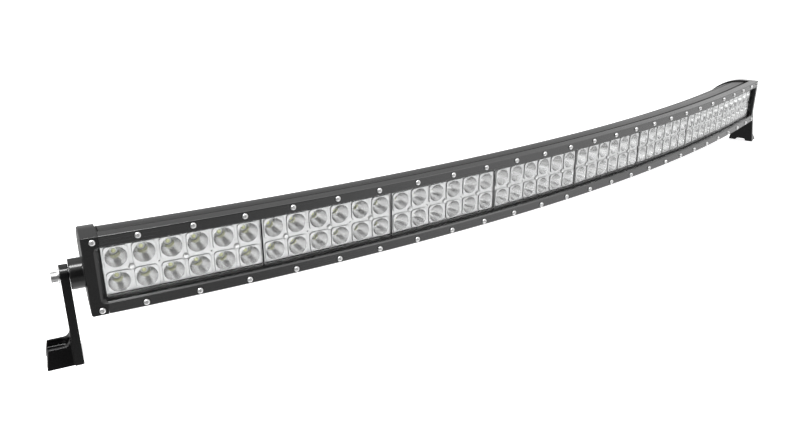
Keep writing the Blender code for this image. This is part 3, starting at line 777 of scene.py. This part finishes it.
class End:
    """One end of the bar, whose points are (out, depth, height)."""

    def __init__(self, name, side):
        self.name = name
        self.side = side

    def point(self, out, depth, height):
        return at(self.side * END_ANGLE, self.side * out, depth, height)

    def prism(self, name, sections, finish):
        """A body between loops in (depth, height), each at its own distance out."""
        rows = [[[self.point(out, d, h) for d, h in loop] for loop in loops] for out, loops in sections]
        return made_object(f"{self.name}_{name}", loft(rows), FINISHES[finish])

    def guide(self, name, rows):
        """A body of the bracket between loops of (out, depth, height)."""
        work = loft([[[self.point(*p) for p in row]] for row in rows])
        return made_object(f"{self.name}_{name}_guide", work, FINISHES["bracket"])

    def turned(self, name, profile, finish, depth=PIVOT_DEPTH, height=0.0, sides=48):
        """A turned body whose axis runs outwards; its profile starts with the distance out."""
        work = turned(profile, lambda a, u, v: self.point(a, depth + u, height + v), sides)
        return made_object(f"{self.name}_{name}", work, FINISHES[finish])

    def front_turned(self, name, profile, finish, out, height):
        """A turned body whose axis runs backwards; its profile starts with the depth."""
        work = turned(profile, lambda a, u, v: self.point(out + u, a, height + v), 32)
        return made_object(f"{self.name}_{name}", work, FINISHES[finish])


def cap_outline(inset):
    """An end cap's outline in (depth, height), drawn in by inset."""
    top = HALF_HEIGHT - inset
    crown = arc(CROWN, HALF_HEIGHT - CROWN[1] - inset, 86, 42, 11)
    half = [(inset, top), (CROWN[0], top), *crown, (CAP_REAR[0] - inset, CAP_REAR[1] - inset / 2)]
    corners = [1.0] + [0] * len(crown) + [2.5, 3.0]
    return rounded(mirrored(half), corners + corners[::-1], 4)


def make_cap(end):
    """The cast end cap with its pivot boss, countersinks and the bevel beside the lens."""
    sections = [(-CAP_LENGTH, [cap_outline(0.0)])]
    for out, inset in dome(-CAP_ROUNDING, 0.0, 0.0, CAP_ROUNDING, 6):
        sections.append((out, [cap_outline(inset)]))
    cap = end.prism("cast_cap", sections, "cap")
    foot, edge = BOSS_RADIUS + BOSS_FILLET, BOSS_LENGTH - BOSS_EDGE
    boss = [(-5, foot), (-0.3, foot), (0.12, BOSS_RADIUS + BOSS_FILLET / 2), (0.6, BOSS_RADIUS + 0.25),
            (1.5, BOSS_RADIUS), (edge, BOSS_RADIUS),
            *dome(edge, BOSS_LENGTH, BOSS_RADIUS, BOSS_RADIUS - BOSS_EDGE, 4)]
    combine(cap, end.turned("boss_guide", boss, "cap", sides=72), "UNION")
    bore = [(-7, BOLT_RADIUS + GAP), (BOSS_LENGTH + 2, BOLT_RADIUS + GAP)]
    combine(cap, end.turned("bore_guide", bore, "cap", sides=32), "DIFFERENCE")
    sink = [(-CAP_LENGTH - 2, 2.3), (-2.4, 2.3), (-0.1, 4.6), (1, 4.6)]
    for place, (depth, height) in SIDE_SCREWS.items():
        combine(cap, end.turned(f"sink_guide_{place}", sink, "cap", depth, height, 32), "DIFFERENCE")
    hole = [(-2, 2.0), (11, 2.0)]
    for place, height in FRONT_SCREWS.items():
        guide = end.front_turned(f"hole_guide_{place}", hole, "cap", -FRONT_SCREW_INSET, height)
        combine(cap, guide, "DIFFERENCE")
    combine(cap, window_guide(end), "DIFFERENCE")
    placed(cap, "bar", "end_cap", f"{end.name}_end_cap")


def window_guide(end):
    """The space in front of the lens at a cap's inner edge, with its sloping and rounded side."""
    wide, narrow = (-9.7, 28.8, 5.0), (-13.9, 27.0, 3.2)
    rows = ((-1.0, *wide), (0.0, *wide), (0.5, -10.6, 28.3, 4.6), (3.2, -13.7, 27.2, 3.5),
            (3.8, *narrow), (5.0, *narrow))
    inner = -30.0
    sections = []
    for depth, out, half_height, corner in rows:
        corners = [(inner, -half_height), (out, -half_height), (out, half_height), (inner, half_height)]
        loop = rounded(corners, [0, corner, corner, 0], 6)
        sections.append([[end.point(u, depth, h) for u, h in loop]])
    return made_object(f"{end.name}_window_guide", loft(sections), FINISHES["cap"])


def make_cap_screws(end):
    """The button-head screws in a cap's front and the countersunk ones in its outer face."""
    button = [(10, 1.7), (-0.05, 1.7), (-0.05, 2.9), (-0.35, BUTTON_RADIUS), *button_head(-0.5)]
    for place, height in FRONT_SCREWS.items():
        screw = end.front_turned(f"button_screw_{place}", button, "steel", -FRONT_SCREW_INSET, height)
        placed(screw, "bar", "stainless", f"{end.name}_front_screw_{place}")
    countersunk = [(-24, 1.6), (-23.5, 1.8), (-2.6, 2.0), (-0.5, 4.1), (-0.35, 4.1), (-0.3, 3.9),
                   (-0.3, 2.3, "hex"), (-2.1, 2.2, "hex"), (-2.3, 0.6)]
    for place, (depth, height) in SIDE_SCREWS.items():
        screw = end.turned(f"countersunk_screw_{place}", countersunk, "black_screw", depth, height)
        placed(screw, "bar", "black_screw", f"{end.name}_side_screw_{place}")


def make_pivot(end):
    """The socket-head bolt that the bracket swings on, and its washer."""
    seat = ARM_INNER + ARM_THICKNESS + GAP
    bore = circle((PIVOT_DEPTH, 0), BOLT_RADIUS + GAP, 48)
    rows = ((0.0, 0.2), (0.15, 0.0), (WASHER_THICKNESS - 0.15, 0.0), (WASHER_THICKNESS, 0.2))
    sections = [(seat + out, [circle((PIVOT_DEPTH, 0), WASHER_RADIUS - inset, 48), bore])
                for out, inset in rows]
    washer = end.prism("flat_washer", sections, "steel")
    placed(washer, "bar", "stainless", f"{end.name}_pivot_washer")
    head = seat + WASHER_THICKNESS + GAP
    top = head + BOLT_HEAD_LENGTH
    radius, waist_radius = BOLT_HEAD_RADIUS, BOLT_HEAD_RADIUS - 0.15
    waist = [(head + 0.7, radius), (head + 1.0, waist_radius), (head + 4.6, waist_radius),
             (head + 4.9, radius)]
    profile = [(-6.0, 2.6), (-5.4, BOLT_RADIUS), (head, BOLT_RADIUS), (head, radius - 0.2),
               (head + 0.2, radius), *waist, *dome(top - 0.7, top, radius, radius - 0.7, 3),
               (top, 2.95, "hex"), (top - 3.2, 2.9, "hex"), (top - 3.5, 1.0)]
    placed(end.turned("socket_bolt", profile, "bolt"), "bar", "stainless", f"{end.name}_pivot_bolt")


def arm_outline():
    """The A-shaped arm, round about the pivot and widest at the foot, in (depth, height)."""
    degrees = math.degrees(math.asin((ARM_BOTTOM_HALF_WIDTH - ARM_TOP_RADIUS) / MOUNT_DROP))
    top = arc((PIVOT_DEPTH, 0), ARM_TOP_RADIUS, degrees, 180 - degrees, 28)
    front, rear = PIVOT_DEPTH - ARM_BOTTOM_HALF_WIDTH, PIVOT_DEPTH + ARM_BOTTOM_HALF_WIDTH
    return top + [(front, -MOUNT_DROP), (rear, -MOUNT_DROP)]


def make_foot(end):
    """The hollowed foot: a tapered block with a fillet to the arm, an open trough and a bolt slot."""
    outer = ARM_INNER + ARM_THICKNESS
    foot_top = -MOUNT_DROP + FOOT_HEIGHT

    def level(points, height):
        return [(u, d, height) for u, d in points]

    def floor_plan(half_width, reach):
        start = outer - 3
        return [(start, PIVOT_DEPTH - half_width), (ARM_INNER + reach, PIVOT_DEPTH - half_width),
                (ARM_INNER + reach, PIVOT_DEPTH + half_width), (start, PIVOT_DEPTH + half_width)]

    foot = end.guide("foot", [level(floor_plan(FOOT_HALF_WIDTH, FOOT_REACH), -MOUNT_DROP),
                              level(floor_plan(FOOT_TOP_HALF_WIDTH, FOOT_REACH - FOOT_LEAN), foot_top)])
    reach = outer + FOOT_FILLET
    inner = outer - 2.5
    fillet = [(inner, foot_top - 2), (reach, foot_top - 2), (reach, foot_top),
              *arc((reach, foot_top + FOOT_FILLET), FOOT_FILLET, 267, 180, 9),
              (inner, foot_top + FOOT_FILLET)]
    half_width = FOOT_TOP_HALF_WIDTH - 0.2
    sides = [[(u, PIVOT_DEPTH + half_width * side, h) for u, h in fillet] for side in (-1, 1)]
    combine(foot, end.guide("fillet", sides), "UNION")
    far = ARM_INNER + PAST_FOOT
    trough = [*arc((ARM_INNER + 18, PIVOT_DEPTH), TROUGH_RADIUS, 90, 270, 15),
              (far, PIVOT_DEPTH - TROUGH_RADIUS), (far, PIVOT_DEPTH + TROUGH_RADIUS)]
    rows = [level(trough, foot_top - TROUGH_DEPTH), level(trough, foot_top + 9)]
    combine(foot, end.guide("trough", rows), "DIFFERENCE")
    middle = ARM_INNER + 20.5
    slot = [*arc((middle - SLOT_HALF_LENGTH, PIVOT_DEPTH), SLOT_RADIUS, 90, 270, 12),
            *arc((middle + SLOT_HALF_LENGTH, PIVOT_DEPTH), SLOT_RADIUS, -90, 90, 12)]
    rows = [level(slot, -MOUNT_DROP - 5), level(slot, foot_top + 5)]
    combine(foot, end.guide("slot", rows), "DIFFERENCE")
    return foot


def make_bracket(end):
    """The cast foot bracket: a plate arm on a hollowed foot, with a relief under both."""
    foot = make_foot(end)
    loops = [arm_outline(), circle((PIVOT_DEPTH, 0), 3.5, 40)]
    sections = [(out, loops) for out in (ARM_INNER, ARM_INNER + ARM_THICKNESS)]
    bracket = end.prism("cast_bracket", sections, "bracket")
    combine(bracket, foot, "UNION")
    low, high = -MOUNT_DROP - 1.6, -MOUNT_DROP + RELIEF_HEIGHT
    relief = [(-RELIEF_HALF_WIDTH - 3.5, low), (-RELIEF_HALF_WIDTH, high),
              (RELIEF_HALF_WIDTH, high), (RELIEF_HALF_WIDTH + 3.5, low)]
    ends = (ARM_INNER - 5, ARM_INNER + PAST_FOOT)
    rows = [[(u, PIVOT_DEPTH + d, h) for d, h in relief] for u in ends]
    combine(bracket, end.guide("relief", rows), "DIFFERENCE")
    even = bracket.modifiers.new("even_mesh", "REMESH")
    even.mode = "VOXEL"
    even.voxel_size = CAST_VOXEL * MM
    soften = bracket.modifiers.new("cast_edges", "SMOOTH")
    soften.factor = 0.5
    soften.iterations = CAST_SMOOTHING
    settle(bracket)
    placed(bracket, f"{end.name}_bracket", "bracket", f"{end.name}_bracket")


# ---- fittings on the back -----------------------------------------------------------------------

def rear_turned(name, profile, x, finish, node, ring=False):
    """A turned piece whose axis runs backwards through the housing's rear, x along the arc."""
    angle = x / FACE_RADIUS
    work = turned(profile, lambda a, u, v: at(angle, u, a, v), 48, ring)
    placed(made_object(name, work, FINISHES[finish]), "bar", finish, node)


def make_rear_fittings():
    """The cable gland with its nut and seal, and the breather vent."""
    seat = HOUSING_REAR + GAP
    body = [(CHAMBER_REAR - 3, 6.0), (seat, 6.0), (seat, 7.7, "hex"), (seat + 0.5, 8.2, "hex"),
            (seat + 4.5, 8.2, "hex"), (seat + 5, 7.7, "hex"), (seat + 5, 5.8), (seat + 11, 5.8),
            (seat + 11, 4.4), (CHAMBER_REAR - 3, 4.4)]
    nut = [(seat + 5.3, 6.2), (seat + 5.3, 7.7, "hex"), (seat + 5.8, 8.2, "hex"),
           (seat + 11.5, 8.2, "hex"), (seat + 12, 7.8), (seat + 14.5, 7.4), (seat + 17, 6.4),
           (seat + 18.4, 5.6), (seat + 19, 4.8), (seat + 19, 4.0), (seat + 11.8, 4.6),
           (seat + 11.8, 6.2)]
    seal = [(seat + 1, 4.1), (seat + 11.6, 4.1), (seat + 11.6, 3.3), (seat + 11.2, 3.0),
            (seat + 1, 3.0)]
    vent = [(CHAMBER_REAR - 2, 3.8), (CHAMBER_REAR - 1.5, 4.0), (seat, 4.0), (seat, 6.3),
            (seat + 0.3, 6.5), (seat + 2.2, 6.5), *dome(seat + 2.5, seat + 3.9, 6.4, 4.4, 4),
            (seat + 3.9, 4.2), (seat + 3.2, 4.0), (seat + 3.2, 1.0)]
    rear_turned("gland_body", body, GLAND_X, "nylon", "cable_gland", True)
    rear_turned("gland_dome_nut", nut, GLAND_X, "nylon", "gland_nut", True)
    rear_turned("gland_rubber_seal", seal, GLAND_X, "rubber", "gland_seal", True)
    rear_turned("vent_plug", vent, VENT_X, "nylon", "breather_vent")


def finish_cad_nodes():
    """Materials for the CAD pieces that stay as they are."""
    kept = {f"led_board_{number}": "board" for number in range(1, MODULES + 1)}
    kept.update(driver_board="driver", left_end_gasket="rubber", right_end_gasket="rubber")
    for node, finish in kept.items():
        for place in frame["nodes"][node].material_slots:
            place.material = FINISHES[finish]


# ---- floor, light and camera --------------------------------------------------------------------

def make_floor():
    """A white floor, and a white wall round it that only the camera sees."""
    work = bmesh.new()
    bmesh.ops.create_grid(work, x_segments=1, y_segments=1, size=FLOOR_HALF)
    white = Finish("light_table", (0.7, 0.7, 0.7), 0.9, Specular_IOR_Level=0.1,
                   Emission_Color=(1, 1, 1, 1), Emission_Strength=0.82)
    floor = made_object("studio_floor", work, white.material, matrix=Matrix.Identity(4))
    floor.location.z = -0.2 * MM
    floor.visible_glossy = False
    ring = bmesh.new()
    bmesh.ops.create_cone(ring, cap_ends=False, segments=64, radius1=BACKDROP_RADIUS,
                          radius2=BACKDROP_RADIUS, depth=BACKDROP_HEIGHT)
    glow = Finish("backdrop_glow", (0.0, 0.0, 0.0), 1.0,
                  Emission_Color=(1, 1, 1, 1), Emission_Strength=1.0)
    backdrop = made_object("studio_backdrop", ring, glow.material, matrix=Matrix.Identity(4))
    backdrop.location.z = BACKDROP_HEIGHT / 2 - 0.1
    for rays in ("diffuse", "glossy", "transmission", "volume_scatter", "shadow"):
        setattr(backdrop, f"visible_{rays}", False)


def area_light(name, place, target, size, power):
    """A softbox at a place, turned to a target, with its size in metres and its power in watts."""
    data = bpy.data.lights.new(name, "AREA")
    data.shape = "RECTANGLE"
    data.size, data.size_y = size
    data.energy = power
    lamp = bpy.data.objects.new(name, data)
    lamp.location = place
    lamp.rotation_euler = (Vector(target) - Vector(place)).to_track_quat("-Z", "Y").to_euler()
    bpy.context.scene.collection.objects.link(lamp)


def make_light():
    """A pale room, brightest overhead and underneath and dimmest in front of the bar's left end."""
    world = bpy.data.worlds.new("studio")
    bpy.context.scene.world = world
    world.use_nodes = True
    tree = world.node_tree
    way = tree.nodes.new("ShaderNodeTexCoord")
    parts = tree.nodes.new("ShaderNodeSeparateXYZ")
    tree.links.new(way.outputs["Generated"], parts.inputs[0])

    def ramp(source, low, high, start, end):
        """A value that goes smoothly from low to high while the source goes from start to end."""
        made = tree.nodes.new("ShaderNodeMapRange")
        made.interpolation_type = "SMOOTHSTEP"
        for name, value in (("From Min", start), ("From Max", end), ("To Min", low), ("To Max", high)):
            made.inputs[name].default_value = value
        tree.links.new(source, made.inputs["Value"])
        return made

    def times(first, second):
        made = tree.nodes.new("ShaderNodeMath")
        made.operation = "MULTIPLY"
        tree.links.new(first.outputs[0], made.inputs[0])
        tree.links.new(second.outputs[0], made.inputs[1])
        return made

    front = ramp(parts.outputs["X"], 0.42, 1.12, 0.05, 0.62)
    back = ramp(parts.outputs["X"], 0.45, 1.15, 0.70, 0.97)
    strength = ramp(parts.outputs["Y"], 0.0, 0.0, -0.15, 0.15)
    # a dark screen in front of the bar and to the left, which fades out just below the horizon
    ahead = ramp(parts.outputs["Y"], 1.0, 0.0, -0.8, -0.55)
    raised = ramp(parts.outputs["Z"], 0.0, 1.0, -0.3, 0.0)
    leftward = ramp(parts.outputs["X"], 1.0, 0.0, 0.25, 0.45)
    screen = times(times(ahead, raised), leftward)
    unscreened = ramp(screen.outputs[0], 1.0, 0.1, 0.0, 1.0)
    tree.links.new(times(front, unscreened).outputs[0], strength.inputs["To Min"])
    tree.links.new(back.outputs[0], strength.inputs["To Max"])
    ceiling = ramp(parts.outputs["Z"], 1.0, 2.2, 0.45, 0.8)
    underneath = ramp(parts.outputs["Z"], 3.0, 1.0, -0.9, -0.55)
    total = times(times(strength, ceiling), underneath)
    background = tree.nodes["Background"]
    background.inputs["Color"].default_value = (1, 1, 1, 1)
    tree.links.new(total.outputs[0], background.inputs["Strength"])
    area_light("overhead_strip", (-1.1, -0.2, 1.9), (-1.0, 0.0, 0.1), (1.5, 0.4), 40)
    area_light("left_box", (-2.2, -0.5, 1.6), (-0.4, 0.0, 0.1), (0.5, 0.5), 16)


def make_camera():
    """The camera, in front of the bar's left end and a little above it, looking along the bar."""
    data = bpy.data.cameras.new("camera")
    data.lens = CAMERA_LENS
    data.sensor_width = 36.0
    camera = bpy.data.objects.new("camera", data)
    camera.location = [(place + origin) * MM for place, origin in zip(CAMERA_PLACE, BAR_ORIGIN)]
    camera.rotation_euler = (math.radians(90 - CAMERA_TILT), 0, math.radians(-CAMERA_TURN))
    bpy.context.scene.collection.objects.link(camera)
    bpy.context.scene.camera = camera
    bpy.context.scene.view_settings.view_transform = "Standard"


def main():
    make_camera()
    make_light()
    make_floor()
    make_housing()
    make_rails()
    make_lens()
    make_modules()
    for name, side in (("left", -1), ("right", 1)):
        end = End(name, side)
        make_cap(end)
        make_cap_screws(end)
        make_pivot(end)
        make_bracket(end)
    make_rear_fittings()
    finish_cad_nodes()


main()
